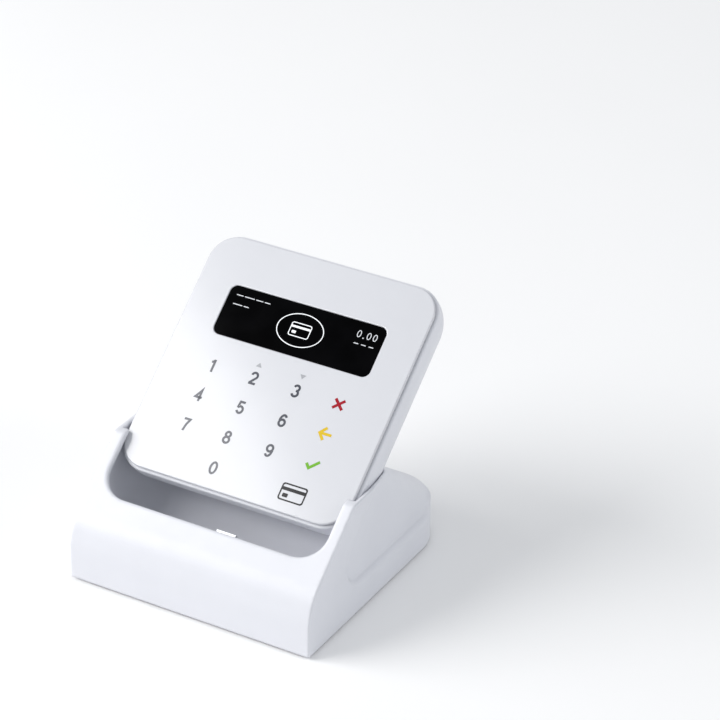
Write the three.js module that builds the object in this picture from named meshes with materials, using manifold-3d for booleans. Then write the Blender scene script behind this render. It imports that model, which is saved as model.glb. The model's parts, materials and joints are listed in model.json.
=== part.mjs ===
// A pocket card payment terminal and its reclined charging cradle.
//
// Millimetres. +X is to the right of a person facing the keypad, +Y points away from that
// person and +Z is up. Lengths on the terminal are written in its own tilted frame: x across
// the face, y up the face from its lower edge, and z out of the face, so z = -3 is 3 mm deep.
// The cradle is written in a level frame with its origin under the middle of its front edge.

import * as THREE from 'three';
import { mergeVertices } from 'three/addons/utils/BufferGeometryUtils.js';
import Module from 'manifold-3d';

const wasm = await Module();
wasm.setup();

// ---------------------------------------------------------------- driving dimensions

const TILT = THREE.MathUtils.degToRad(40);   // recline of the face from level
const GAP = 0.3;                             // clearance between neighbouring pieces

const TERMINAL = {
  side: 84,            // width and height of the square body
  thick: 23,           // face to back
  corner: 10,          // corner radius seen from the front
  flat: 4,             // straight part of the side before it rounds over to the back
  roundSide: 16,       // how far the round-over comes in at the back
  wall: 1.8,
  coverSide: 82.4,     // front cover, a little smaller than the body
  coverThick: 1.2,
  seam: 0.3,           // groove between the front cover and the rear shell
  restY: 21.9,         // lower edge of the face above its seat, level frame
  restZ: 32.1,
  lifted: 13,          // how far this rest place is above the docked one
};

const DISPLAY = { width: 57.2, height: 17.4, corner: 2.5, y: 58.6 };
const SCREW = { x: 33, y: 25 };              // from the middle of the terminal
const PORT = { y: 2.2, z: -12.2 };           // mouth of the charging socket
const PLUG_END = -8;                         // tip of the cradle's plug, below the socket here
const CARD_SLOT = { width: 55, height: 1.5, z: -7.6 };
const BUTTON = { y: 55, z: -7.4, length: 7, height: 2.6 };
const LABEL = { width: 40.4, height: 24.4, y: 46, recess: 0.5 };

const CRADLE = {
  width: 87.7,
  depth: 88.5,
  height: 40.2,        // top of the side walls
  rearFoot: 13,        // height at which the rear starts to lean in
  rearCorner: 17,
  topCorner: 8,        // the rear corner where the body is highest
  wall: 2,
  noseRadius: 16,      // blend from the upright front into the slanted front wall
  lip: 3.1,            // outside of the front wall, in front of the terminal's face
  lipWall: 2,
  recess: 1.3,         // depth of the side recess
  recessFloor: 10.8,   // height of the lower edge of the side recess
  recessEdge: 2.4,     // how far its slanting edge is behind the line y = z
  footHeight: 0.8,
};
const REAR_CURVE = [[88.5, 13], [88.5, 15.4], [65.1, 30.1], [50.9, 40.2]];   // y and z, control points
const CUTOUT = { halfWidth: 39.8, y: -11.7, corner: 9 };
const BASE = { z: 0.3, thick: 2, inset: 0.3 };
const INLET = { z: 6.1, width: 7.5, height: 2.9, length: 5.6, mouthY: 87.9 };
const BASE_SCREWS = [[-33, 10, 23], [33, 10, 23], [-24, 75, 20], [24, 75, 20]];   // x, y, boss top
const FEET = [[-33, 22], [33, 22], [-29, 68], [29, 68]];

// ---------------------------------------------------------------- materials

const finish = (color, roughness, metalness = 0) =>
  new THREE.MeshStandardMaterial({ color, roughness, metalness });

const MATERIALS = {
  shell: finish(0xf2f3f5, 0.35),
  face: finish(0xf7f8fa, 0.15),
  lens: finish(0x0b0c0e, 0.08),
  panel: finish(0x15171a, 0.3),
  film: finish(0xd9d2b0, 0.5),
  board: finish(0x1f5a3a, 0.55),
  flex: finish(0xc4762b, 0.5),
  copper: finish(0xb87333, 0.35, 1),
  steel: finish(0xb9bcc0, 0.3, 1),
  chip: finish(0x1b1c1e, 0.6),
  plastic: finish(0x2a2b2d, 0.6),
  cell: finish(0xc9ccd2, 0.4),
  rubber: finish(0x3a3b3d, 0.9),
  foam: finish(0x5a5d60, 0.95),
  label: finish(0xe4e6e8, 0.6),
  contact: finish(0xd9b45a, 0.3, 1),
};

// ---------------------------------------------------------------- solid helpers

const Y_AXIS = new THREE.Vector3(0, 1, 0);

function toSolid(geometry) {
  const bare = geometry.clone();
  bare.deleteAttribute('normal');
  bare.deleteAttribute('uv');
  const merged = mergeVertices(bare, 1e-4);
  return new wasm.Manifold(new wasm.Mesh({
    numProp: 3,
    vertProperties: new Float32Array(merged.attributes.position.array),
    triVerts: new Uint32Array(merged.index.array),
  }));
}

function toGeometry(solid) {
  const mesh = solid.getMesh();
  const geometry = new THREE.BufferGeometry();
  geometry.setAttribute('position', new THREE.BufferAttribute(mesh.vertProperties, 3));
  geometry.setIndex(new THREE.BufferAttribute(mesh.triVerts, 1));
  geometry.computeVertexNormals();
  return geometry;
}

// Joins every added geometry to the first, then takes the cut ones away.
function carve(body, { add = [], cut = [] }) {
  const joined = add.reduce((whole, piece) => whole.add(toSolid(piece)), toSolid(body));
  return toGeometry(cut.reduce((whole, piece) => whole.subtract(toSolid(piece)), joined));
}

function within(body, limit) {
  return toGeometry(toSolid(body).intersect(toSolid(limit)));
}

// A box given by its lowest and highest corners.
function block(low, high) {
  const size = high.map((value, i) => value - low[i]);
  const middle = high.map((value, i) => (value + low[i]) / 2);
  return new THREE.BoxGeometry(...size).translate(...middle);
}

// An upright cylinder from height z0 to z1.
function rod(radius, x, y, z0, z1, sides = 20) {
  return new THREE.CylinderGeometry(radius, radius, z1 - z0, sides)
    .rotateX(Math.PI / 2).translate(x, y, (z0 + z1) / 2);
}

// A closed outline from corners [x, y, radius], each rounded to its radius.
function roundedOutline(corners) {
  const shape = new THREE.Shape();
  corners.forEach(([x, y, radius = 0], i) => {
    const here = new THREE.Vector2(x, y);
    if (radius === 0) {
      if (i === 0) shape.moveTo(x, y); else shape.lineTo(x, y);
      return;
    }
    const before = corners[(i + corners.length - 1) % corners.length];
    const after = corners[(i + 1) % corners.length];
    const back = new THREE.Vector2(before[0], before[1]).sub(here).normalize();
    const on = new THREE.Vector2(after[0], after[1]).sub(here).normalize();
    const half = Math.acos(THREE.MathUtils.clamp(back.dot(on), -1, 1)) / 2;
    const start = here.clone().addScaledVector(back, radius / Math.tan(half));
    const middle = here.clone().addScaledVector(
      back.clone().add(on).normalize(), radius / Math.sin(half));
    const end = here.clone().addScaledVector(on, radius / Math.tan(half));
    const clockwise = back.cross(on) > 0;
    const a0 = Math.atan2(start.y - middle.y, start.x - middle.x);
    const a1 = Math.atan2(end.y - middle.y, end.x - middle.x);
    if (i === 0) shape.moveTo(start.x, start.y); else shape.lineTo(start.x, start.y);
    shape.absarc(middle.x, middle.y, radius, a0, a1, clockwise);
  });
  shape.closePath();
  return shape;
}

function roundedRectangle(width, height, radius, x = 0, y = 0) {
  const [w, h] = [width / 2, height / 2];
  return roundedOutline([
    [x - w, y - h, radius], [x + w, y - h, radius], [x + w, y + h, radius], [x - w, y + h, radius],
  ]);
}

// An outline in x and y, extruded from z0 up to z1.
function plate(shape, z0, z1, curveSegments = 6) {
  return new THREE.ExtrudeGeometry(shape, {
    depth: z1 - z0, bevelEnabled: false, curveSegments,
  }).translate(0, 0, z0);
}

// An outline drawn in y and z, extruded sideways from x0 to x1.
function sidePlate(shape, x0, x1, options = {}) {
  const depth = x1 - x0;
  return new THREE.ExtrudeGeometry(shape, { depth, bevelEnabled: false, curveSegments: 6, ...options })
    .applyMatrix4(new THREE.Matrix4().makeBasis(
      Y_AXIS, new THREE.Vector3(0, 0, 1), new THREE.Vector3(1, 0, 0)))
    .translate(x0, 0, 0);
}

// ---------------------------------------------------------------- terminal envelope

const MIDDLE = TERMINAL.side / 2;

// The terminal's pillow shape: a rounded square whose sides run straight for a few
// millimetres, then round over to a smaller flat back. grow moves every wall outwards.
function pillow(grow, front, stretch = 0) {
  const rings = 9;
  const half = MIDDLE + grow;
  const roundDepth = TERMINAL.thick - TERMINAL.flat + grow;
  const roundSide = TERMINAL.roundSide + grow;
  const outline = roundedRectangle(2 * half, 2 * half, TERMINAL.corner + grow);
  const geometry = new THREE.ExtrudeGeometry(outline, {
    depth: rings, steps: rings, bevelEnabled: false, curveSegments: 6,
  });
  const points = geometry.attributes.position;
  for (let i = 0; i < points.count; i++) {
    const ring = Math.round(points.getZ(i));          // 0 is the back, rings is the front
    const angle = Math.PI / 2 * (rings - 1 - ring) / (rings - 1);
    const onFace = ring === rings;
    const scale = onFace ? 1 : (half - roundSide * (1 - Math.cos(angle))) / half;
    const depth = onFace ? -front : TERMINAL.flat + roundDepth * Math.sin(angle);
    const y = points.getY(i) * scale;
    points.setXYZ(i, points.getX(i) * scale, MIDDLE + y + (y > 0 ? stretch : 0), -depth);
  }
  return geometry;
}

// ---------------------------------------------------------------- scene graph

const part = new THREE.Group();
const cradle = new THREE.Group();
const terminal = new THREE.Group();
const dock = new THREE.Group();              // cradle pieces in line with the terminal
for (const tilted of [terminal, dock]) {
  tilted.rotation.x = TILT;
  tilted.position.set(0, TERMINAL.restY, TERMINAL.restZ);
}
part.add(cradle, terminal, dock);
part.updateMatrixWorld(true);

function place(group, name, geometry, material) {
  const mesh = new THREE.Mesh(geometry, material);
  mesh.name = name;
  group.add(mesh);
}

// ---------------------------------------------------------------- terminal pieces

const SCREW_PLACES = [[-1, -1], [1, -1], [-1, 1], [1, 1]]
  .map(([sx, sy]) => [sx * SCREW.x, MIDDLE + sy * SCREW.y]);
const coverUnder = -TERMINAL.coverThick;
const boardTop = -4.4;
const boardUnder = -5.6;

function frontCover() {
  const skirt = TERMINAL.side - 2 * (TERMINAL.wall + GAP);
  const skirtWall = 1.2;
  const body = plate(
    roundedRectangle(TERMINAL.coverSide, TERMINAL.coverSide, TERMINAL.corner - 0.8, 0, MIDDLE),
    coverUnder, 0);
  const rim = carve(plate(roundedRectangle(skirt, skirt, 8, 0, MIDDLE), -4, -1), {
    cut: [plate(roundedRectangle(skirt - 2 * skirtWall, skirt - 2 * skirtWall, 7, 0, MIDDLE), -5, 0)],
  });
  const posts = SCREW_PLACES.map(([x, y]) => rod(2.6, x, y, -12.6, -1, 16));
  const pilots = SCREW_PLACES.map(([x, y]) => rod(1, x, y, -13, -4.5, 12));
  const window = plate(
    roundedRectangle(DISPLAY.width, DISPLAY.height, DISPLAY.corner, 0, DISPLAY.y), -2, 1);
  return carve(body, { add: [rim, ...posts], cut: [window, ...pilots] });
}

function rearShell() {
  const rimTop = -(TERMINAL.coverThick + TERMINAL.seam);
  const outside = pillow(0, rimTop);
  const bosses = SCREW_PLACES.map(([x, y]) => within(rod(3.4, x, y, -22, -13, 16), outside));
  const tub = carve(outside, { cut: [pillow(-TERMINAL.wall, 1)] });
  const slot = CARD_SLOT;
  return carve(tub, {
    add: bosses,
    cut: [
      ...SCREW_PLACES.map(([x, y]) => rod(2.7, x, y, -24, -18.3, 20)),
      ...SCREW_PLACES.map(([x, y]) => rod(1.2, x, y, -19, -12, 12)),
      block([-slot.width / 2, -2, slot.z - slot.height / 2], [slot.width / 2, 4, slot.z + slot.height / 2]),
      alongY(roundedRectangle(8.6, 3.6, 1), -2, 6, PORT.z),
      block([-44, BUTTON.y - BUTTON.length / 2 - GAP, BUTTON.z - BUTTON.height / 2 - GAP],
        [-38, BUTTON.y + BUTTON.length / 2 + GAP, BUTTON.z + BUTTON.height / 2 + GAP]),
      plate(roundedRectangle(LABEL.width + 2 * GAP, LABEL.height + 2 * GAP, 1.5, 0, LABEL.y),
        -TERMINAL.thick - 1, LABEL.recess - TERMINAL.thick),
    ],
  });
}

function mainBoard() {
  const outline = roundedRectangle(77, 76, 7, 0, MIDDLE);
  return carve(plate(outline, boardUnder, boardTop), {
    cut: SCREW_PLACES.map(([x, y]) => rod(3, x, y, -7, -3, 16)),
  });
}

// A contact card slides into the open lower end of this frame.
function cardFrame() {
  const half = 28.6;
  const { width, height, z } = CARD_SLOT;
  return carve(block([-half, 4.6, z - 1.6], [half, 42, z + 1.6]), {
    cut: [
      block([-width / 2, 4, z - height / 2], [width / 2, 40, z + height / 2]),
      block([-20, 8, z], [20, 26, z + 3]),
    ],
  });
}

function shieldCan() {
  return carve(block([-12, 46, -8.9], [12, 70, -5.9]), {
    cut: [block([-11.6, 46.4, -8.5], [11.6, 69.6, -5])],
  });
}

// Both charging shells are flattened hexagons, wide at the top and cut in at the lower corners.
function portOutline(width, height) {
  const [w, h] = [width / 2, height / 2];
  return roundedOutline([[-w, -h * 0.2], [-w * 0.8, -h], [w * 0.8, -h], [w, -h * 0.2], [w, h], [-w, h]]);
}

// An extrusion along +Y of an outline drawn in x and z about a height z.
function alongY(shape, y0, y1, z) {
  return new THREE.ExtrudeGeometry(shape, { depth: y1 - y0, bevelEnabled: false, curveSegments: 4 })
    .applyMatrix4(new THREE.Matrix4().makeBasis(
      new THREE.Vector3(-1, 0, 0), new THREE.Vector3(0, 0, 1), Y_AXIS))
    .translate(0, y0, z);
}

// A metal connector shell about the charging axis, closed at one end and open at its mouth.
function connectorShell({ width, height, y0, y1, z, wall, mouth }) {
  const closed = 0.8;
  const [from, to] = mouth === 'low' ? [y0 - 1, y1 - closed] : [y0 + closed, y1 + 1];
  return carve(alongY(portOutline(width, height), y0, y1, z), {
    cut: [alongY(portOutline(width - 2 * wall, height - 2 * wall), from, to, z)],
  });
}

function powerButton() {
  const { y, z, length, height } = BUTTON;
  const stem = sidePlate(roundedRectangle(length, height, 1.1, y, z), -42.5, -38.1);
  return carve(stem, { add: [block([-39.3, y - 4.6, z - 1.5], [-38.8, y + 4.6, z + 1.5])] });
}

// A ribbon of constant thickness along points drawn in y and z.
function ribbon(points, thickness, x0, x1) {
  const path = points.map(([y, z]) => new THREE.Vector2(y, z));
  const side = (sign) => path.map((point, i) => {
    const before = path[Math.max(i - 1, 0)];
    const after = path[Math.min(i + 1, path.length - 1)];
    const along = after.clone().sub(before).normalize();
    return point.clone().add(new THREE.Vector2(-along.y, along.x).multiplyScalar(sign * thickness / 2));
  });
  return sidePlate(new THREE.Shape([...side(-1), ...side(1).reverse()]), x0, x1);
}

// A pan head screw with its head at the bottom and its shank pointing up.
function screw(x, y, z0, z1, headRadius, tip) {
  return carve(rod(headRadius, x, y, z0, z1, 16), {
    add: [rod(0.75, x, y, z1 - 0.1, tip, 10)],
    cut: [rod(0.9, x, y, z0 - 1, z0 + 0.5, 6)],
  });
}

function buildTerminal() {
  const M = MATERIALS;
  const add = (name, geometry, material) => place(terminal, name, geometry, material);
  add('front_cover', frontCover(), M.face);
  add('rear_shell', rearShell(), M.shell);
  add('display_lens', plate(roundedRectangle(
    DISPLAY.width - 0.4, DISPLAY.height - 0.4, DISPLAY.corner - 0.2, 0, DISPLAY.y), -1, 0), M.lens);
  add('display_panel', block([-27, 50.9, -2.8], [27, 66.3, -1.3]), M.panel);
  add('display_flex', ribbon([[56, -3.05], [50, -3.05], [48.2, -3.5], [47.6, -4.2]], 0.2, -6, 6), M.flex);
  add('touch_sensor', plate(roundedRectangle(52, 42, 2, 0, 24.5), -1.8, -1.5), M.film);
  add('nfc_antenna', carve(plate(roundedRectangle(60, 21.2, 3, 0, 57.6), -2.2, -1.9), {
    cut: [plate(roundedRectangle(55.6, 16.8, 2, 0, 58.6), -3, -1)],
  }), M.copper);
  add('main_board', mainBoard(), M.board);
  add('shield_can', shieldCan(), M.steel);
  add('secure_processor', block([-6, 52, -7], [6, 64, -5.8]), M.chip);
  add('radio_module', block([20, 48, -7.9], [32, 57, -5.9]), M.steel);
  add('chip_card_frame', cardFrame(), M.plastic);
  add('card_contact_block', block([-6, 28, -10.9], [6, 39, -9.5]), M.contact);
  add('battery', plate(roundedRectangle(46, 40, 2.5, 0, 43), -20.3, -15.2), M.cell);
  add('battery_pad', block([-20, 26, -20.9], [20, 60, -20.6]), M.foam);
  add('charge_board', block([-12, 6.4, -15], [12, 19, -14]), M.board);
  add('charge_socket', connectorShell({
    width: 7.9, height: 3, y0: PORT.y, y1: 8, z: PORT.z, wall: 0.3, mouth: 'low' }), M.steel);
  add('charge_socket_tongue', block([-2.2, 3.4, PORT.z + 0.02], [2.2, 6.9, PORT.z + 0.42]), M.plastic);
  add('backup_cell', rod(6, -24, 56, -8.3, -6, 24), M.steel);
  add('buzzer', rod(4.5, 22, 71, -9, -6, 20), M.chip);
  add('power_switch', block([-37.4, 52, -8.9], [-33.4, 58, -5.9]), M.plastic);
  add('power_button', powerButton(), M.shell);
  const labelTop = LABEL.recess - TERMINAL.thick - 0.2;
  add('rear_label', plate(
    roundedRectangle(LABEL.width, LABEL.height, 1.2, 0, LABEL.y), labelTop - 0.25, labelTop), M.label);
  [-1, 1].forEach((sign, i) =>
    add(`tamper_contact_${i + 1}`, rod(1.6, sign * 30, 45, -4.1, -1.5, 12), M.rubber));
  SCREW_PLACES.forEach(([x, y], i) =>
    add(`rear_screw_${i + 1}`, screw(x, y, -19.9, -18.6, 2.2, -8), M.steel));
}

// ---------------------------------------------------------------- cradle pieces

// The level profile of the front: upright, then an arc, then the slanted front wall.
function frontAt(z, lip) {
  const out = lip - CRADLE.lip;
  const faceY = TERMINAL.restY - lip * Math.sin(TILT);
  const faceZ = TERMINAL.restZ + lip * Math.cos(TILT);
  const slope = (height) => faceY + (height - faceZ) / Math.tan(TILT);
  const radius = CRADLE.noseRadius + out;
  const kneeZ = faceZ - (faceY + out) * Math.tan(TILT);
  const arcZ = kneeZ - radius * Math.tan((Math.PI / 2 - TILT) / 2);
  const arcTop = arcZ + radius * Math.cos(TILT);
  if (z <= arcZ) return -out;
  if (z >= arcTop) return slope(z);
  return -out + radius - Math.sqrt(radius * radius - (z - arcZ) ** 2);
}

// The body stands on a plan with two large rear corners, which get tighter towards the top.
// Its front leans back as frontAt says, and its rear follows a curve that leans forward.
// inset moves every wall inwards.
function cradleBody(inset, halfWidth) {
  const { depth, height, rearFoot, rearCorner, topCorner } = CRADLE;
  const rear = new THREE.CubicBezierCurve(...REAR_CURVE.map(([y, z]) => new THREE.Vector2(y, z)));
  const rings = 12;
  const corner = rearCorner - inset;
  const outline = roundedOutline([
    [-halfWidth, 0], [halfWidth, 0], [halfWidth, depth, corner], [-halfWidth, depth, corner],
  ]);
  const geometry = new THREE.ExtrudeGeometry(outline, {
    depth: rings, steps: rings, bevelEnabled: false, curveSegments: 8,
  });
  const points = geometry.attributes.position;
  for (let i = 0; i < points.count; i++) {
    const ring = Math.round(points.getZ(i));
    const [ownRear, ownZ] = ring === 0 ? [depth, 0] : rear.getPoint((ring - 1) / (rings - 1)).toArray();
    const z = ownZ - inset;
    const [x, y] = [points.getX(i), points.getY(i)];
    if (y < depth / 2) {
      points.setXYZ(i, x, frontAt(z, CRADLE.lip - inset), z);
      continue;
    }
    const rise = THREE.MathUtils.clamp((ownZ - rearFoot) / (height - rearFoot), 0, 1);
    const tight = (rearCorner + (topCorner - rearCorner) * rise - inset) / corner;
    const inX = Math.abs(x) - (halfWidth - corner);
    const inY = y - (depth - corner);
    points.setXYZ(i, Math.sign(x) * (halfWidth + (inX - corner) * tight),
      ownRear - inset + (inY - corner) * tight, z);
  }
  return geometry;
}

// The space the terminal slides through, as a cutter in the level frame.
function pocket(grow) {
  return pillow(grow, CRADLE.lip - CRADLE.lipWall + grow - GAP, 90)
    .translate(0, -TERMINAL.lifted, 0)
    .applyMatrix4(terminal.matrixWorld);
}

// The space seen through the front wall, open at the top.
function frontCutout() {
  const { halfWidth, y, corner } = CUTOUT;
  const outline = roundedOutline([
    [-halfWidth, y, corner], [halfWidth, y, corner], [halfWidth, 60], [-halfWidth, 60],
  ]);
  return plate(outline, 0, 12).applyMatrix4(terminal.matrixWorld);
}

// The space beside the body, behind a slanting edge and above the foot.
function sideRecess(sign) {
  const { recessFloor, recessEdge, recess, width } = CRADLE;
  const inner = width / 2 - recess;
  const [rear, above] = [79, 60];
  const outline = roundedOutline([[recessFloor + recessEdge, recessFloor, 8], [rear, recessFloor, 7],
    [rear, above], [above + recessEdge, above]]);
  return sign > 0 ? sidePlate(outline, inner, inner + 8) : sidePlate(outline, -inner - 8, -inner);
}

// The block that holds the charging plug, in the terminal's tilted frame.
function plugBlock(grow, low, high) {
  return block([-6 - grow, low, PORT.z - 2.6 - grow], [6 + grow, high, PORT.z + 2.6 + grow]);
}

function cradleShell() {
  const half = CRADLE.width / 2;
  const hollow = carve(cradleBody(CRADLE.wall, half - CRADLE.wall - CRADLE.recess), {
    cut: [pocket(GAP + CRADLE.wall)],
  });
  const bossFoot = BASE.z + BASE.thick + GAP;
  return carve(carve(cradleBody(0, half), { cut: [hollow] }), {
    add: BASE_SCREWS.map(([x, y, top]) => rod(3.2, x, y, bossFoot, top, 16)),
    cut: [
      pocket(GAP), frontCutout(), sideRecess(-1), sideRecess(1),
      ...BASE_SCREWS.map(([x, y]) => rod(1, x, y, 0, 12, 10)),
      plugBlock(GAP, -22, -6).applyMatrix4(terminal.matrixWorld),
      alongY(roundedRectangle(INLET.width + 1.4, INLET.height + 1.4, 1.2), 80, 95, INLET.z),
    ],
  });
}

function basePlate() {
  const { z, thick, inset } = BASE;
  const side = CRADLE.width / 2 - CRADLE.wall - CRADLE.recess - inset;
  const front = CRADLE.wall + inset;
  const rear = CRADLE.depth - front;
  const corner = CRADLE.rearCorner - front;
  const outline = roundedOutline([
    [-side, front], [side, front], [side, rear, corner], [-side, rear, corner]]);
  const standoffs = [[-6, 70], [6, 70], [-6, 80], [6, 80]];
  return carve(plate(outline, z, z + thick, 8), {
    add: standoffs.map(([x, y]) => rod(1.4, x, y, z + thick - 0.2, 3.1, 10)),
    cut: BASE_SCREWS.flatMap(([x, y]) => [rod(2.8, x, y, z - 1, 1.5, 16), rod(1.05, x, y, 0, 4, 10)]),
  });
}

function plugCarrier() {
  return carve(plugBlock(0, -19, -12.9), {
    add: [block([-10, -18.8, PORT.z - 3.4], [10, -17.2, PORT.z + 3.4])],
    cut: [alongY(roundedRectangle(7.5, 2.5, 0.6), -20, -10, PORT.z)],
  });
}

function buildCradle() {
  const M = MATERIALS;
  const add = (name, geometry, material) => place(cradle, name, geometry, material);
  add('cradle_shell', cradleShell(), M.shell);
  add('base_plate', basePlate(), M.shell);
  add('ballast_plate', plate(roundedRectangle(52, 28, 2, 0, 50), 2.6, 6.2), M.steel);
  add('inlet_board', block([-9, 67.5, 3.2], [9, 84, 4.4]), M.board);
  add('power_inlet', connectorShell({
    ...INLET, y0: INLET.mouthY - INLET.length, y1: INLET.mouthY, wall: 0.3, mouth: 'high' }), M.steel);
  add('power_inlet_tongue', block([-2.2, INLET.mouthY - 4.5, INLET.z + 0.1],
    [2.2, INLET.mouthY - 1, INLET.z + 0.6]), M.plastic);
  add('link_ribbon', ribbon([[20.5, 6.6], [27, 8], [64, 8], [69, 5.2], [73, 5]], 0.3, -3, 3), M.flex);
  BASE_SCREWS.forEach(([x, y], i) =>
    add(`base_screw_${i + 1}`, screw(x, y, 0.5, 1.3, 2.4, 9), M.steel));
  FEET.forEach(([x, y], i) =>
    add(`foot_pad_${i + 1}`, rod(4.5, x, y, -CRADLE.footHeight, 0.2, 24), M.rubber));
}

// The charging plug stands in the pocket floor, in line with the terminal.
function buildDock() {
  const M = MATERIALS;
  const add = (name, geometry, material) => place(dock, name, geometry, material);
  add('plug_carrier', plugCarrier(), M.shell);
  add('charging_plug', connectorShell({
    width: 6.9, height: 1.9, y0: -18.6, y1: PLUG_END, z: PORT.z, wall: 0.25, mouth: 'high' }), M.steel);
  add('charging_plug_contacts', block([-2.4, -17, PORT.z - 0.6],
    [2.4, PLUG_END - 0.5, PORT.z - 0.28]), M.contact);
  add('plug_board', block([-12, -20.6, -18], [12, -19.4, -7]), M.board);
}

// ---------------------------------------------------------------- assembly

buildTerminal();
buildCradle();
buildDock();

// The origin is under the middle of the whole object, on the surface it stands on.
const bounds = new THREE.Box3().setFromObject(part, true);
part.position.set(0, -(bounds.min.y + bounds.max.y) / 2, -bounds.min.z);

export default part;
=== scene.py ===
# A card payment terminal lifted half out of its reclined charging cradle.
#
# Lengths below are millimetres unless a name ends in _M. The cradle is drawn level, from the
# middle of the lower front edge of its shell. The terminal is drawn in its own tilted frame:
# x across the face, y up the face from its lower edge, z out of the face.
import json
import math

import bpy
import numpy as np
from mathutils import Matrix, Vector


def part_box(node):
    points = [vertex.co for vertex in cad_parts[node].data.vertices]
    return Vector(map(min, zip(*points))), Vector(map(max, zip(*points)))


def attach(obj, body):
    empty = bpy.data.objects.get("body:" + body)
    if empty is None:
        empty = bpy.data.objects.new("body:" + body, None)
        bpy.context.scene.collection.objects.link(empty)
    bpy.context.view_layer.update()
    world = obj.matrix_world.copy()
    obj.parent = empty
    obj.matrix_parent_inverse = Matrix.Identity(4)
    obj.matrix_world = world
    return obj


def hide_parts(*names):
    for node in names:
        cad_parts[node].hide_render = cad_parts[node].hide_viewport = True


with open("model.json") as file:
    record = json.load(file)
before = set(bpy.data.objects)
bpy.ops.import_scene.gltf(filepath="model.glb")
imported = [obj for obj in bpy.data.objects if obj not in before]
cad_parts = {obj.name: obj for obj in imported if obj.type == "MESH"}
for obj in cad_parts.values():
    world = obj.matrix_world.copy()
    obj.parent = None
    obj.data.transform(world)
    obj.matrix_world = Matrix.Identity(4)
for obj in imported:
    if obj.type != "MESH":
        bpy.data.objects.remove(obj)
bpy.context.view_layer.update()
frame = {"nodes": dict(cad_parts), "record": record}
nodes = frame["nodes"]

# ------------------------------------------------------------------ driving dimensions

MM = 0.001
TILT = math.radians(40)            # recline of the face from level
SIN, COS = math.sin(TILT), math.cos(TILT)
GAP = 0.3                          # clearance between neighbouring pieces

SIDE = 84                          # width and height of the terminal
THICK = 23
CORNER = 10
FLAT = 4                           # straight part of its side, before the round-over
ROUND_DEPTH = THICK - FLAT
ROUND_SIDE = 16
WALL = 1.8
MIDDLE = SIDE / 2
SEAM = 1.5                         # depth of the rear shell's rim
EDGE_Y, EDGE_Z = 21.9, 32.1        # lower edge of the face, level frame
LIFTED = 13                        # how far this place is above the docked one

COVER_SIDE, COVER_CORNER, COVER_THICK = 82.4, 9.2, 1.2
DISPLAY_WIDTH, DISPLAY_HEIGHT, DISPLAY_CORNER, DISPLAY_Y = 57.2, 17.4, 2.5, 58.6
SCREW_X, SCREW_Y = 33, 25
PORT_Z = -12.2
SLOT_WIDTH, SLOT_HEIGHT, SLOT_Z = 55, 1.5, -7.6
BUTTON_Y, BUTTON_Z, BUTTON_LENGTH, BUTTON_HEIGHT = 55, -7.4, 7, 2.6

WIDTH, DEPTH, HEIGHT = 87.7, 88.5, 40.2
FOOT = 13                          # height at which the cradle's rear starts to lean in
REAR_CORNER, TOP_CORNER = 17, 8
REAR_CURVE = ((DEPTH, FOOT), (DEPTH, 15.4), (65.1, 30.1), (50.9, HEIGHT))
SHELL = 2
NOSE = 16
LIP, LIP_BACK = 3.1, 1.1           # outside and inside of the front wall, from the face
RECESS, RECESS_FLOOR = 1.3, 10.8   # mean depth and lower edge of the side recess
RECESS_HIGH, RECESS_LOW, RECESS_ROUND = 0.7, 2, 2.6
HALF_RIGHT = math.sqrt(0.5)        # sine and cosine of 45 degrees
RECESS_SHIFT = 2.4                 # how far its slanting edge is behind a 45 degree line
BASE_SCREWS = ((33, 10, 23), (24, 75, 20))      # x, y, boss top
BOSS_FOOT, BOSS_RADIUS = 2.6, 3.2
CUT_HALF, CUT_Y, CUT_CORNER = 39.8, -11.7, 9
INLET_Z = 6.1

low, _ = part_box("cradle_shell")
LEVEL = Matrix.Translation((0, low.y, low.z)) @ Matrix.Scale(MM, 4)
TILTED = LEVEL @ Matrix.Translation((0, EDGE_Y, EDGE_Z)) @ Matrix.Rotation(TILT, 4, "X")

# ------------------------------------------------------------------ materials


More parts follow.
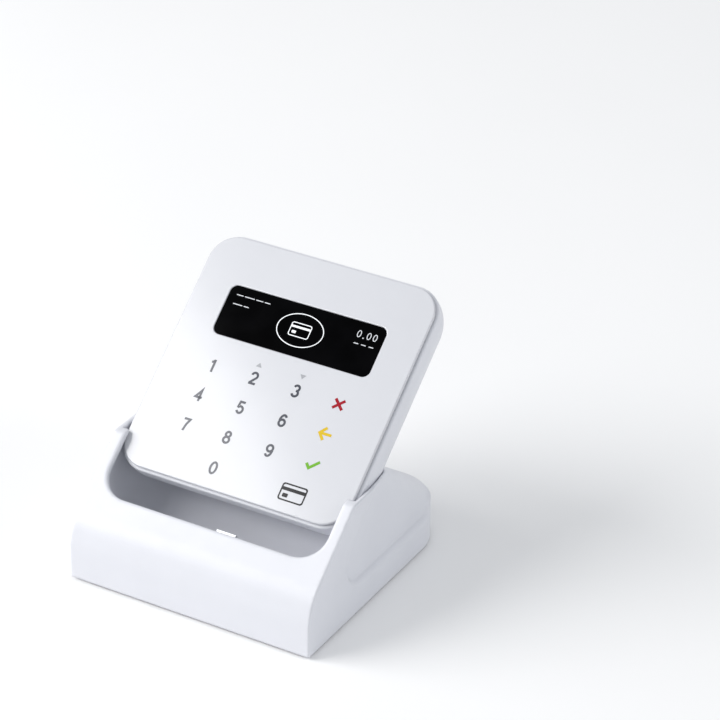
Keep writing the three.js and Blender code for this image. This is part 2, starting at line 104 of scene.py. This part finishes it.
class Shader:
    """A Principled material whose parts are added one call at a time."""

    def __init__(self, name, roughness, metallic=0.0, coat=0.0, coat_roughness=0.03, ior=1.46,
                 specular=0.5):
        self.material = bpy.data.materials.new(name)
        self.material.use_nodes = True
        self.tree = self.material.node_tree
        self.surface = self.tree.nodes["Principled BSDF"]
        for socket, value in {"Roughness": roughness, "Metallic": metallic, "IOR": ior,
                              "Coat Weight": coat, "Coat Roughness": coat_roughness,
                              "Specular IOR Level": specular}.items():
            self.surface.inputs[socket].default_value = value
        self.place = self.tree.nodes.new("ShaderNodeTexCoord").outputs["Object"]

    def node(self, kind, settings=None, **inputs):
        made = self.tree.nodes.new("ShaderNode" + kind)
        for key, value in (settings or {}).items():
            setattr(made, key, value)
        for key, value in inputs.items():
            socket = made.inputs[key.replace("_", " ")]
            if isinstance(value, bpy.types.NodeSocket):
                self.tree.links.new(value, socket)
            else:
                socket.default_value = value
        return made

    def noise(self, size, detail=3.0, stretch=(1, 1, 1)):
        """Noise whose lumps are about size millimetres across."""
        place = self.node("Mapping", Vector=self.place, Scale=stretch).outputs["Vector"]
        return self.node("TexNoise", Vector=place, Scale=1 / (size * MM), Detail=detail)

    def link(self, output, socket):
        self.tree.links.new(output, self.surface.inputs[socket])

    def tint(self, colour, other, size, detail=3.0, stretch=(1, 1, 1)):
        """Base colour wandering between two tints."""
        noise = self.noise(size, detail, stretch).outputs["Fac"]
        ramp = self.node("ValToRGB", Fac=noise)
        for stop, at, value in zip(ramp.color_ramp.elements, (0.35, 0.65), (colour, other)):
            stop.position, stop.color = at, (*value, 1)
        self.link(ramp.outputs["Color"], "Base Color")
        return self

    def rough(self, smooth, dull, size, detail=4.0, stretch=(1, 1, 1)):
        noise = self.noise(size, detail, stretch).outputs["Fac"]
        spread = self.node("MapRange", Value=noise, From_Min=0.3, From_Max=0.7,
                           To_Min=smooth, To_Max=dull)
        self.link(spread.outputs["Result"], "Roughness")
        return self

    def grain(self, size, height, strength=1.0, stretch=(1, 1, 1)):
        """A bump whose lumps are size across and height high, in millimetres."""
        noise = self.noise(size, 2.0, stretch).outputs["Fac"]
        bump = self.node("Bump", Height=noise, Distance=height * MM, Strength=strength)
        self.link(bump.outputs["Normal"], "Normal")
        return self


def tinted(colour, factor):
    return tuple(min(1.0, channel * factor) for channel in colour)


def simple(name, colour, roughness, metallic=0.0, size=4.0, spread=0.9, grain=0.15, height=0.01):
    """A moulded, pressed or coated finish: two close tints, uneven gloss and a fine grain."""
    return (Shader(name, roughness, metallic)
            .tint(colour, tinted(colour, spread), size)
            .rough(roughness * 0.85, min(1.0, roughness * 1.25), size * 0.6)
            .grain(grain, height).material)


def dark_glass():
    """The dark glass, faintly clouded."""
    return (Shader("display_glass", 0.06, specular=0.02)
            .tint((0.0012, 0.0012, 0.0014), (0.0022, 0.0022, 0.0026), 9)
            .rough(0.045, 0.09, 6).material)


def glowing(name, colour, strength):
    """Lit display marks, a little uneven from dot to dot."""
    shader = Shader(name, 0.3)
    noise = shader.noise(0.35, 1.0).outputs["Fac"]
    spread = shader.node("MapRange", Value=noise, To_Min=strength * 0.8, To_Max=strength * 1.2)
    shader.tint(colour, tinted(colour, 0.9), 2)
    shader.surface.inputs["Emission Color"].default_value = (*colour, 1)
    shader.link(spread.outputs["Result"], "Emission Strength")
    return shader.material


def ink(name, colour, gloss=1.0):
    """A printed colour under a clear gloss."""
    return (Shader(name, 0.3, coat=gloss, coat_roughness=0.1, specular=0.1)
            .tint(colour, tinted(colour, 0.88), 0.5)
            .rough(0.26, 0.36, 0.8).material)


SHELL_WHITE = (Shader("shell_white", 0.34, ior=1.5)
               .tint((0.705, 0.715, 0.76), (0.725, 0.735, 0.78), 22)
               .rough(0.30, 0.42, 3.0)
               .grain(0.28, 0.006, 0.5).material)
FACE_WHITE = (Shader("face_white", 0.3, coat=1.0, coat_roughness=0.1)
              .tint((0.595, 0.605, 0.64), (0.61, 0.62, 0.655), 26)
              .rough(0.28, 0.33, 5.0)
              .grain(1.4, 0.0006, 0.3).material)
FINISHES = {
    "shell_white": SHELL_WHITE,
    "face_white": FACE_WHITE,
    "display_black": dark_glass(),
    "display_module": simple("display_module", (0.02, 0.022, 0.026), 0.3),
    "sensor_film": simple("sensor_film", (0.68, 0.62, 0.42), 0.45, size=6, spread=0.85),
    "circuit_board": simple("circuit_board", (0.015, 0.11, 0.045), 0.5, size=1.6, spread=0.55,
                            grain=0.5, height=0.03),
    "flex_amber": simple("flex_amber", (0.55, 0.2, 0.03), 0.42, size=1.2, spread=0.8),
    "copper": simple("copper", (0.72, 0.35, 0.17), 0.32, 1.0, size=2),
    "steel": simple("steel", (0.6, 0.61, 0.63), 0.3, 1.0, size=1.5, grain=0.08),
    "chip_black": simple("chip_black", (0.016, 0.016, 0.018), 0.55, size=1.0, spread=1.5),
    "black_plastic": simple("black_plastic", (0.022, 0.022, 0.024), 0.5, size=1.5, spread=1.4),
    "gold_contacts": simple("gold_contacts", (0.83, 0.6, 0.22), 0.26, 1.0, size=0.8),
    "battery_foil": simple("battery_foil", (0.55, 0.57, 0.6), 0.36, 0.6, size=7, grain=1.2,
                           height=0.05),
    "foam": simple("foam", (0.09, 0.095, 0.1), 0.95, size=0.8, spread=0.7, grain=0.5,
                   height=0.12),
    "rubber": simple("rubber", (0.035, 0.036, 0.038), 0.85, size=1.2, spread=1.3, grain=0.3,
                     height=0.03),
    "label_grey": simple("label_grey", (0.74, 0.75, 0.76), 0.55, size=9, spread=0.96),
}

for row in frame["record"]["subparts"]:
    node = nodes[row["node"]]
    node.data.materials.clear()
    node.data.materials.append(FINISHES[row["material_slot"]])

# ------------------------------------------------------------------ distance fields


def rounded(a, b, radius, cosine=0.0):
    """The overlap of two solids given by distance, its edge rounded to radius.
    cosine is that of the angle between their outward directions."""
    u, v = a + radius, b + radius
    away = np.sqrt(np.maximum(u * u + v * v - 2 * cosine * u * v, 0) / (1 - cosine ** 2))
    at_edge = (u > cosine * v) & (v > cosine * u)
    return np.where(at_edge, away - radius, np.maximum(a, b))


def cut(body, tool, radius=0.0):
    return rounded(body, -tool, radius) if radius else np.maximum(body, -tool)


def joined(a, b, radius=0.0, cosine=0.0):
    return -rounded(-a, -b, radius, cosine) if radius else np.minimum(a, b)


def slab(values, middle, half):
    return np.abs(values - middle) - half


def tilted(y, z):
    """The level y and z as distance up the face and out of it."""
    return (y - EDGE_Y) * COS + (z - EDGE_Z) * SIN, (z - EDGE_Z) * COS - (y - EDGE_Y) * SIN


def pillow(x, up, out, grow, front, stretch=0.0, edge=0.0):
    """The terminal's shape: a rounded square whose sides run straight, then round over to a
    smaller flat back. stretch lets its upper half slide up and away."""
    half = MIDDLE + grow
    bend = np.clip((-out - FLAT) / (ROUND_DEPTH + grow), 0, 0.985)
    lean = np.sqrt(1 - bend ** 2)
    own = half - (ROUND_SIDE + grow) * (1 - lean)
    high = np.abs(np.minimum(up - MIDDLE, 0) + np.maximum(up - MIDDLE - stretch, 0))
    across = rounded(np.abs(x) - own, high - own, (CORNER + grow) * own / half)
    slope = ROUND_SIDE / ROUND_DEPTH * bend / lean
    wall = rounded(across / np.sqrt(1 + slope ** 2), -out - THICK - grow, 1.5)
    return rounded(wall, out - front, edge) if edge else np.maximum(wall, out - front)


def bezier(points, count=60):
    t = np.linspace(0, 1, count)[:, None]
    a, b, c, d = (np.array(p, float) for p in points)
    return (a * (1 - t) ** 3 + 3 * b * t * (1 - t) ** 2 + 3 * c * t * t * (1 - t) + d * t ** 3).T


REAR_Y, REAR_Z = bezier(REAR_CURVE)
REAR_Y, REAR_Z = np.append(REAR_Y, REAR_Y[-1] - 14), np.append(REAR_Z, REAR_Z[-1] + 10)
REAR_LEAN = 1 / np.hypot(1, np.gradient(REAR_Y, REAR_Z))


def cradle_body(x, y, z, recess=0.0):
    """The cradle, its sides recess inside the full width. The rear corners get tighter with
    the recess, so that it fades out before the rear."""
    _, out = tilted(y, z)
    front = rounded(-y, out - LIP, NOSE, SIN)
    rise = np.clip((z - FOOT) / (HEIGHT - FOOT), 0, 1)
    rear = (y - np.interp(z, REAR_Z, REAR_Y)) * np.interp(z, REAR_Z, REAR_LEAN)
    corner = REAR_CORNER + (TOP_CORNER - REAR_CORNER) * rise - 2.4 * recess
    plan = rounded(np.abs(x) - WIDTH / 2 + recess, rear, corner)
    body = rounded(plan, z - HEIGHT, 0.6, 0.5)
    return rounded(body, front, 0.4)


def cradle_shell(x, y, z):
    up, out = tilted(y, z)
    drop = np.clip((HEIGHT - z) / (HEIGHT - RECESS_FLOOR), 0, 1)
    inset = cradle_body(x, y, z, RECESS_HIGH + (RECESS_LOW - RECESS_HIGH) * drop)
    # The full width stays in front of a slanting line and below a level one.
    recess = rounded((z + RECESS_SHIFT - y) * HALF_RIGHT, RECESS_FLOOR - z, 8, -HALF_RIGHT)
    band = rounded(cradle_body(x, y, z), -recess, RECESS_ROUND)
    body = joined(inset, band)
    pocket = pillow(x, up + LIFTED, out, GAP, LIP_BACK, 90)
    opening = np.maximum(rounded(np.abs(x) - CUT_HALF, CUT_Y - up, CUT_CORNER), -out)
    shell = cut(body, np.maximum(cradle_body(x, y, z, RECESS) + SHELL, SHELL - pocket))
    for screw_x, screw_y, boss_top in BASE_SCREWS:
        boss = np.hypot(np.abs(x) - screw_x, y - screw_y) - BOSS_RADIUS
        boss = np.maximum(boss, np.maximum(z - boss_top, BOSS_FOOT - z))
        shell = joined(shell, np.maximum(boss, body))
    shell = cut(cut(shell, opening, 0.7), pocket, 0.3)
    plug = np.maximum(slab(x, 0, 6.3), np.maximum(slab(up, -14, 8), slab(out, PORT_Z, 2.9)))
    inlet = rounded(slab(x, 0, 4.45), slab(z, INLET_Z, 2.15), 1.2)
    shell = cut(cut(shell, plug), np.maximum(inlet, 80 - y), 0.3)
    return rounded(shell, -z, 0.35)


def rear_shell(x, y, z):
    outside = pillow(x, y, z, 0, -SEAM, edge=0.35)
    shell = cut(outside, pillow(x, y, z, -WALL, 1))
    from_screw = np.hypot(np.abs(x) - SCREW_X, np.abs(y - MIDDLE) - SCREW_Y)
    boss = np.maximum(np.maximum(from_screw - 3.4, slab(z, -17.5, 4.5)), outside)
    shell = joined(shell, boss, 0.4)
    shell = cut(shell, np.maximum(from_screw - 2.7, z + 18.3), 0.3)
    shell = cut(shell, np.maximum(from_screw - 1.2, z + 12))
    slot = rounded(slab(x, 0, SLOT_WIDTH / 2), slab(z, SLOT_Z, SLOT_HEIGHT / 2), 0.7)
    shell = cut(shell, np.maximum(slot, y - 4), 0.3)
    port = rounded(slab(x, 0, 4.3), slab(z, PORT_Z, 1.8), 1)
    shell = cut(shell, np.maximum(port, y - 6), 0.3)
    button = rounded(slab(y, BUTTON_Y, BUTTON_LENGTH / 2 + GAP),
                     slab(z, BUTTON_Z, BUTTON_HEIGHT / 2 + GAP), 1.3)
    shell = cut(shell, np.maximum(button, x + 38), 0.25)
    label = rounded(slab(x, 0, 20.5), slab(y, 46, 12.5), 1.5)
    return cut(shell, np.maximum(label, z + 22.5))


# ------------------------------------------------------------------ meshes

SHARP = 35
INK, INK_STEP = 0.02, 0.002

def keep_piece(name, mesh, place, material, body, stands_for=()):
    mesh.transform(place)
    mesh.materials.clear()
    mesh.materials.append(material)
    piece = bpy.data.objects.new(name, mesh)
    bpy.context.scene.collection.objects.link(piece)
    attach(piece, body)
    if stands_for:
        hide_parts(*stands_for)
    return piece


def surface_of(field, lowest, highest, step):
    """Vertices and quads of the surface where field is zero, one vertex to each grid cell
    that it crosses, then drawn onto the surface along the field's slope."""
    axes = [np.arange(a - 1.5 * step, b + 2 * step, step) for a, b in zip(lowest, highest)]
    value = field(*np.meshgrid(*axes, indexing="ij"))
    inside = value < 0
    cells = np.array(value.shape) - 1
    total, count = np.zeros((*cells, 3)), np.zeros(cells)

    def corner(offset):
        return tuple(slice(o, o + n) for o, n in zip(offset, cells))

    for axis in range(3):
        b, c = (axis + 1) % 3, (axis + 2) % 3
        for shift in ((0, 0), (0, 1), (1, 0), (1, 1)):
            start = [0, 0, 0]
            start[b], start[c] = shift
            end = list(start)
            end[axis] += 1
            v0, v1 = value[corner(start)], value[corner(end)]
            crossed = (v0 < 0) != (v1 < 0)
            part = np.where(crossed, v0 / np.where(crossed, v0 - v1, 1), 0)
            total[..., axis] += part
            total[..., b] += crossed * shift[0]
            total[..., c] += crossed * shift[1]
            count += crossed
    used = np.argwhere(count > 0)
    index = np.full(cells, -1)
    index[tuple(used.T)] = np.arange(len(used))
    origin = np.array([a[0] for a in axes])
    points = origin + (used + total[tuple(used.T)] / count[tuple(used.T)][:, None]) * step
    for _ in range(3):
        here = field(*points.T)
        slope = np.stack([
            (field(*(points + e).T) - field(*(points - e).T)) / 0.02
            for e in np.eye(3) * 0.01], axis=1)
        move = here[:, None] * slope / np.maximum((slope ** 2).sum(1), 0.2)[:, None]
        size = np.linalg.norm(move, axis=1)[:, None]
        points -= move * np.minimum(1, 0.4 * step / np.maximum(size, 1e-9))
    quads = []
    for axis in range(3):
        b, c = (axis + 1) % 3, (axis + 2) % 3
        first = [slice(None)] * 3
        second = [slice(None)] * 3
        first[axis], second[axis] = slice(0, -1), slice(1, None)
        starts, ends = inside[tuple(first)], inside[tuple(second)]
        at = np.argwhere(starts != ends)
        outward = starts[tuple(at.T)]
        ring = []
        for db, dc in ((-1, -1), (0, -1), (0, 0), (-1, 0)):
            cell = at.copy()
            cell[:, b] += db
            cell[:, c] += dc
            ring.append(index[tuple(cell.T)])
        ring = np.stack(ring, axis=1)
        quads.append(np.where(outward[:, None], ring, ring[:, ::-1]))
    return points, np.concatenate(quads)


def solid(name, field, lowest, highest, step, place, material, body, stands_for=()):
    points, quads = surface_of(field, lowest, highest, step)
    mesh = bpy.data.meshes.new(name)
    mesh.vertices.add(len(points))
    mesh.vertices.foreach_set("co", points.ravel())
    mesh.loops.add(quads.size)
    mesh.loops.foreach_set("vertex_index", quads.ravel())
    mesh.polygons.add(len(quads))
    mesh.polygons.foreach_set("loop_start", np.arange(0, quads.size, 4))
    mesh.update(calc_edges=True)
    mesh.validate()
    mesh.shade_smooth()
    return keep_piece(name, mesh, place, material, body, stands_for)


def outline(width, height, radius, x=0.0, y=0.0, hole=False):
    """A rounded rectangle about x and y; a hole runs the other way round."""
    turns = 12
    points = []
    for quarter, (sx, sy) in enumerate(((1, 1), (-1, 1), (-1, -1), (1, -1))):
        for i in range(turns + 1):
            a = math.pi / 2 * (quarter + i / turns)
            points.append((x + sx * (width / 2 - radius) + radius * math.cos(a),
                           y + sy * (height / 2 - radius) + radius * math.sin(a)))
    return points[::-1] if hole else points


def circle(radius, x, y, hole=False, flatten=1.0):
    points = [(x + radius * math.cos(a), y + flatten * radius * math.sin(a))
              for a in np.linspace(0, 2 * math.pi, 49)[:-1]]
    return points[::-1] if hole else points


def stroke(x0, y0, x1, y1, width):
    """A straight line with round ends."""
    along = math.atan2(y1 - y0, x1 - x0)
    points = []
    for (x, y), start in (((x1, y1), -math.pi / 2), ((x0, y0), math.pi / 2)):
        points += [(x + width / 2 * math.cos(along + start + a),
                    y + width / 2 * math.sin(along + start + a))
                   for a in np.linspace(0, math.pi, 9)]
    return points


def plates_mesh(name, layers):
    """One mesh of flat plates, each given as (outlines, z0, z1, bevel)."""
    parts = []
    for outlines, z0, z1, bevel in layers:
        curve = bpy.data.curves.new(name, "CURVE")
        curve.dimensions, curve.fill_mode = "2D", "BOTH"
        for points in outlines:
            spline = curve.splines.new("POLY")
            spline.points.add(len(points) - 1)
            spline.points.foreach_set("co", [c for x, y in points for c in (x, y, 0, 1)])
            spline.use_cyclic_u = True
        curve.extrude = (z1 - z0) / 2 - bevel
        curve.bevel_depth, curve.bevel_resolution, curve.offset = bevel, 3, -bevel
        parts.append(mesh_of_curve(curve, Matrix.Translation((0, 0, (z0 + z1) / 2))))
    return merged(name, parts)


def mesh_of_curve(curve, place):
    holder = bpy.data.objects.new(curve.name, curve)
    bpy.context.scene.collection.objects.link(holder)
    graph = bpy.context.evaluated_depsgraph_get()
    mesh = bpy.data.meshes.new_from_object(holder.evaluated_get(graph))
    bpy.data.objects.remove(holder)
    mesh.transform(place)
    return mesh


def merged(name, parts):
    """One mesh of several, its edges sharp where it turns more than SHARP degrees."""
    whole = bpy.data.meshes.new(name)
    vertices, faces = [], []
    for mesh in parts:
        start = len(vertices)
        vertices += [v.co[:] for v in mesh.vertices]
        faces += [[start + v for v in face.vertices] for face in mesh.polygons]
    whole.from_pydata(vertices, [], faces)
    whole.shade_smooth()
    whole.set_sharp_from_angle(angle=math.radians(SHARP))
    return whole


def plates(name, layers, material, stands_for=()):
    """Flat plates on the terminal, drawn in its tilted frame."""
    keep_piece(name, plates_mesh(name, layers), TILTED, material, "terminal", stands_for)


def print_marks(name, outlines, material, low=INK):
    """Flat marks on the face, each a little thicker than the last so that none share a plane.
    A mark is one outline or a list of outlines with holes."""
    layers = [([marks] if isinstance(marks[0], tuple) else marks, low, low + INK + INK_STEP * i, 0)
              for i, marks in enumerate(outlines)]
    plates(name, layers, material)


def show_marks(name, outlines, material):
    print_marks(name, outlines, material, 1.5 * INK)


def arc(x, y, across, up, start, end):
    """Points along an ellipse about x and y, between two angles in degrees."""
    return [(x + across * math.cos(a), y + up * math.sin(a))
            for a in np.radians(np.linspace(start, end, 15))]


def ribbon(points, width):
    """A line of even width through points, its corners mitred and its ends square."""
    line = np.array(points, float)
    steps = np.diff(line, axis=0)
    steps /= np.linalg.norm(steps, axis=1)[:, None]
    normals = np.stack([-steps[:, 1], steps[:, 0]], axis=1)
    before, after = np.vstack([normals[:1], normals]), np.vstack([normals, normals[-1:]])
    mitre = before + after
    mitre *= (width / (mitre ** 2).sum(1))[:, None]
    return [tuple(p) for p in np.vstack([line + mitre, (line - mitre)[::-1]])]


# Plain numerals one unit high about their middles, as lines through points. A ring is
# (x, y, half width, half height) of its middle line.
LOWER_RING = (0, -0.18, 0.235, 0.245)
SIX = (LOWER_RING, arc(0.02, -0.02, 0.255, 0.445, 183, 42))
NUMERALS = {
    "0": ((0, 0, 0.24, 0.43),),
    "1": ([(-0.17, 0.27), (-0.02, 0.32), (0.07, 0.46)], [(0.08, 0.5), (0.08, -0.5)]),
    "2": (arc(0, 0.19, 0.235, 0.24, 175, -35) + [(-0.2, -0.38), (-0.2, -0.43), (0.28, -0.43)],),
    "3": (arc(0, 0.215, 0.215, 0.215, 165, -85), arc(0, -0.2, 0.24, 0.23, 88, -165)),
    "4": ([(0.11, -0.5), (0.11, 0.38), (-0.24, -0.19), (0.3, -0.19)],),
    "5": ([(0.24, 0.43), (-0.16, 0.43), (-0.21, 0.03)]
          + arc(0, -0.17, 0.235, 0.26, 135, -160),),
    "6": SIX,
    "7": ([(-0.27, 0.43), (0.22, 0.43), (0.04, 0.02), (-0.06, -0.5)],),
    "8": ((0, 0.235, 0.195, 0.195), (0, -0.2, 0.235, 0.23)),
    "9": tuple((-part[0], -part[1], *part[2:]) if part is LOWER_RING
               else [(-x, -y) for x, y in part] for part in SIX),
}


def numeral(digit, x, y, height, weight):
    """The outlines of one digit, its lines weight millimetres wide."""
    shapes = []
    for part in NUMERALS[digit]:
        if isinstance(part, tuple):
            mid_x, mid_y, across, up = (v * height for v in part)
            ring = [[(x + mid_x + (across + side) * math.cos(a),
                      y + mid_y + (up + side) * math.sin(a))
                     for a in np.linspace(0, 2 * math.pi, 41)[:-1]]
                    for side in (weight / 2, -weight / 2)]
            shapes.append([ring[0], ring[1][::-1]])
        else:
            shapes.append(ribbon([(x + px * height, y + py * height) for px, py in part], weight))
    return shapes


# ------------------------------------------------------------------ cradle and terminal

solid("cradle_shell_fine", cradle_shell, (-WIDTH / 2, 0, 0), (WIDTH / 2, DEPTH, HEIGHT),
      0.6, LEVEL, SHELL_WHITE, "cradle",
      ["cradle_shell"])
solid("rear_shell_fine", rear_shell, (-MIDDLE, 0, -THICK), (MIDDLE, SIDE, -SEAM),
      0.55, TILTED, SHELL_WHITE, "terminal",
      ["rear_shell"])



def front_cover():
    """A plate with the display window, a skirt inside the rear shell, and four screw posts."""
    skirt, skirt_wall = SIDE - 2 * (WALL + GAP), 1.2
    inside = skirt - 2 * skirt_wall
    top, bevel = 0.1 - COVER_THICK, 0.05
    face = [outline(COVER_SIDE, COVER_SIDE, COVER_CORNER, 0, MIDDLE),
            outline(DISPLAY_WIDTH, DISPLAY_HEIGHT, DISPLAY_CORNER, 0, DISPLAY_Y, hole=True)]
    rim = [outline(skirt, skirt, 8, 0, MIDDLE), outline(inside, inside, 7, 0, MIDDLE, hole=True)]
    layers = [(face, -COVER_THICK, 0, 0.4), (rim, -4, top, bevel)]
    for x in (-SCREW_X, SCREW_X):
        for y in (MIDDLE - SCREW_Y, MIDDLE + SCREW_Y):
            layers.append(([circle(2.6, x, y), circle(1, x, y, hole=True)], -12.6, top, bevel))
    plates("front_cover_fine", layers, FACE_WHITE, ["front_cover"])


def display_lens():
    inset = 0.1
    glass = outline(DISPLAY_WIDTH - 2 * inset, DISPLAY_HEIGHT - 2 * inset,
                    DISPLAY_CORNER - inset, 0, DISPLAY_Y)
    plates("display_lens_fine", [([glass], -1, 0, 0.06)], FINISHES["display_black"],
           ["display_lens"])


front_cover()
display_lens()

# ------------------------------------------------------------------ printed keypad

GREY = ink("ink_grey", (0.05, 0.055, 0.075))
SOFT = ink("ink_soft", (0.4, 0.41, 0.44))
BLACK = ink("ink_black", (0.012, 0.012, 0.014), 0.5)
RED = ink("ink_red", (0.36, 0.004, 0.015), 0.3)
AMBER = ink("ink_amber", (0.72, 0.5, 0.02), 0.3)
GREEN = ink("ink_green", (0.17, 0.45, 0.03), 0.3)

COLUMNS = (-23.1, -7.7, 7.7, 23.3)
ROWS = (39.3, 28.9, 18.4, 7.7)
DIGIT_HEIGHT, DIGIT_WEIGHT = 4.3, 0.78
for number in range(10):
    key_row, key_column = divmod(number - 1, 3) if number else (3, 1)
    print_marks(f"key_{number}", numeral(str(number), COLUMNS[key_column], ROWS[key_row],
                                         DIGIT_HEIGHT, DIGIT_WEIGHT), GREY)

kx = COLUMNS[3]
print_marks("mark_cancel", [ribbon([(kx - 1.7, 37.6), (kx + 1.7, 40.8)], 0.95),
                            ribbon([(kx - 1.7, 40.8), (kx + 1.7, 37.6)], 0.95)], RED)
print_marks("mark_back", [ribbon([(kx - 2, 28.8), (kx + 2.1, 28.8)], 0.9),
                          ribbon([(kx - 0.2, 30.9), (kx - 2.1, 28.8), (kx - 0.2, 26.7)], 0.95)],
            AMBER)
print_marks("mark_enter", [ribbon([(kx - 2, 18.3), (kx - 0.7, 16.9), (kx + 2.2, 19.7)], 0.95)],
            GREEN)
print_marks("mark_scroll", [[(-8.9, 43.2), (-6.7, 43.2), (-7.8, 44.7)],
                            [(6.8, 45), (7.9, 43.5), (9, 45)]], SOFT)

# A plain card stands where a maker would put a name.
print_marks("mark_card", [
    [outline(9, 5.8, 0.9, 21.3, 7.5), outline(8, 4.8, 0.6, 21.3, 7.5, hole=True)],
    outline(8.3, 1.1, 0.05, 21.3, 8.5),
    outline(1.9, 1.3, 0.3, 19, 6.4)], BLACK)

# ------------------------------------------------------------------ what the display shows

LIT = glowing("display_lit", (0.8, 0.82, 0.84), 0.3)
DIM = glowing("display_dim", (0.62, 0.64, 0.67), 0.1)
DY = DISPLAY_Y
show_marks("display_card", [
    [circle(8.4, 0.3, DY, flatten=0.68), circle(8.1, 0.3, DY, hole=True, flatten=0.669)],
    [outline(7.4, 4.8, 0.8, 0.3, DY), outline(6.8, 4.2, 0.5, 0.3, DY, hole=True)],
    outline(6.9, 0.7, 0.05, 0.3, DY + 0.9),
    outline(1.5, 0.9, 0.2, -1.6, DY - 0.9)], LIT)
DASHES = ((-25.6, 64.2, 2.2), (-22.6, 64.2, 3.4), (-18.4, 64.2, 2.4), (-15.2, 64.2, 1.8),
          (-25.6, 61.0, 3.2), (-21.6, 61.0, 1.6))         # left end, height, length
show_marks("display_lines", [stroke(x, y, x + length, y, 0.3) for x, y, length in DASHES], DIM)
amount = [stroke(21.6, 62.0, 21.7, 62.0, 0.4)]
for zero_x in (19.9, 23.4, 25.6):
    amount += numeral("0", zero_x, 63.1, 2.5, 0.28)
show_marks("display_amount", amount, DIM)
show_marks("display_unit", [stroke(x, 59.8, x + 1.4, 59.8, 0.3) for x in (19.4, 22.1, 24.8)], DIM)

# ------------------------------------------------------------------ floor, lights, camera

AZIMUTH, ELEVATION, ROLL = (math.radians(a) for a in (29.76, 29.69, 0.75))
DISTANCE_M, AIM_M = 1.0516, Vector((-0.0001, 0.0588, 0.0408))
ahead = Vector((-math.sin(AZIMUTH) * math.cos(ELEVATION),
                math.cos(AZIMUTH) * math.cos(ELEVATION), -math.sin(ELEVATION)))
camera = bpy.data.objects.new("camera", bpy.data.cameras.new("camera"))
camera.data.lens, camera.data.sensor_width, camera.data.clip_start = 160, 36, 0.05
camera.location = AIM_M - ahead * DISTANCE_M
camera.rotation_euler = (ahead.to_track_quat("-Z", "Y").to_matrix()
                         @ Matrix.Rotation(ROLL, 3, "Z")).to_euler()
bpy.context.scene.collection.objects.link(camera)
bpy.context.scene.camera = camera

FLOOR_REACH_M = 6.0
floor_mesh = bpy.data.meshes.new("floor")
floor_mesh.from_pydata([(sx * FLOOR_REACH_M, sy * FLOOR_REACH_M, 0) for sx, sy in (
    (-1, -1), (1, -1), (1, 1), (-1, 1))], [], [(0, 1, 2, 3)])
floor_mesh.materials.append(
    Shader("floor", 0.6, ior=1.3).tint((0.955, 0.955, 0.955), (0.965, 0.965, 0.965), 300)
    .rough(0.55, 0.7, 80).material)
floor = bpy.data.objects.new("floor", floor_mesh)
bpy.context.scene.collection.objects.link(floor)


def lamp(name, place, size, watts, colour=(1, 1, 1)):
    """A round soft lamp at place, in metres, turned towards the cradle."""
    light = bpy.data.lights.new(name, "AREA")
    light.shape, light.size, light.energy, light.color = "DISK", size, watts, colour
    holder = bpy.data.objects.new(name, light)
    holder.location = place
    holder.rotation_euler = (LAMP_AIM_M - Vector(place)).to_track_quat("-Z", "Y").to_euler()
    bpy.context.scene.collection.objects.link(holder)


LAMP_AIM_M = Vector((0, 0, 0.03))
lamp("key", (-1.05, -0.8, 0.915), 1.18, 18.5, (1, 0.99, 0.98))
lamp("side", (-1.6, -0.45, 0.62), 0.6, 4.5)
lamp("rim", (1.7, 0.25, 1.15), 0.8, 7, (0.96, 0.98, 1))

world = bpy.context.scene.world or bpy.data.worlds.new("world")
bpy.context.scene.world = world
world.use_nodes = True
surround = world.node_tree.nodes["Background"].inputs
surround["Color"].default_value = (0.95, 0.97, 1.0, 1)
surround["Strength"].default_value = 0.58
bpy.context.scene.view_settings.view_transform = "Standard"
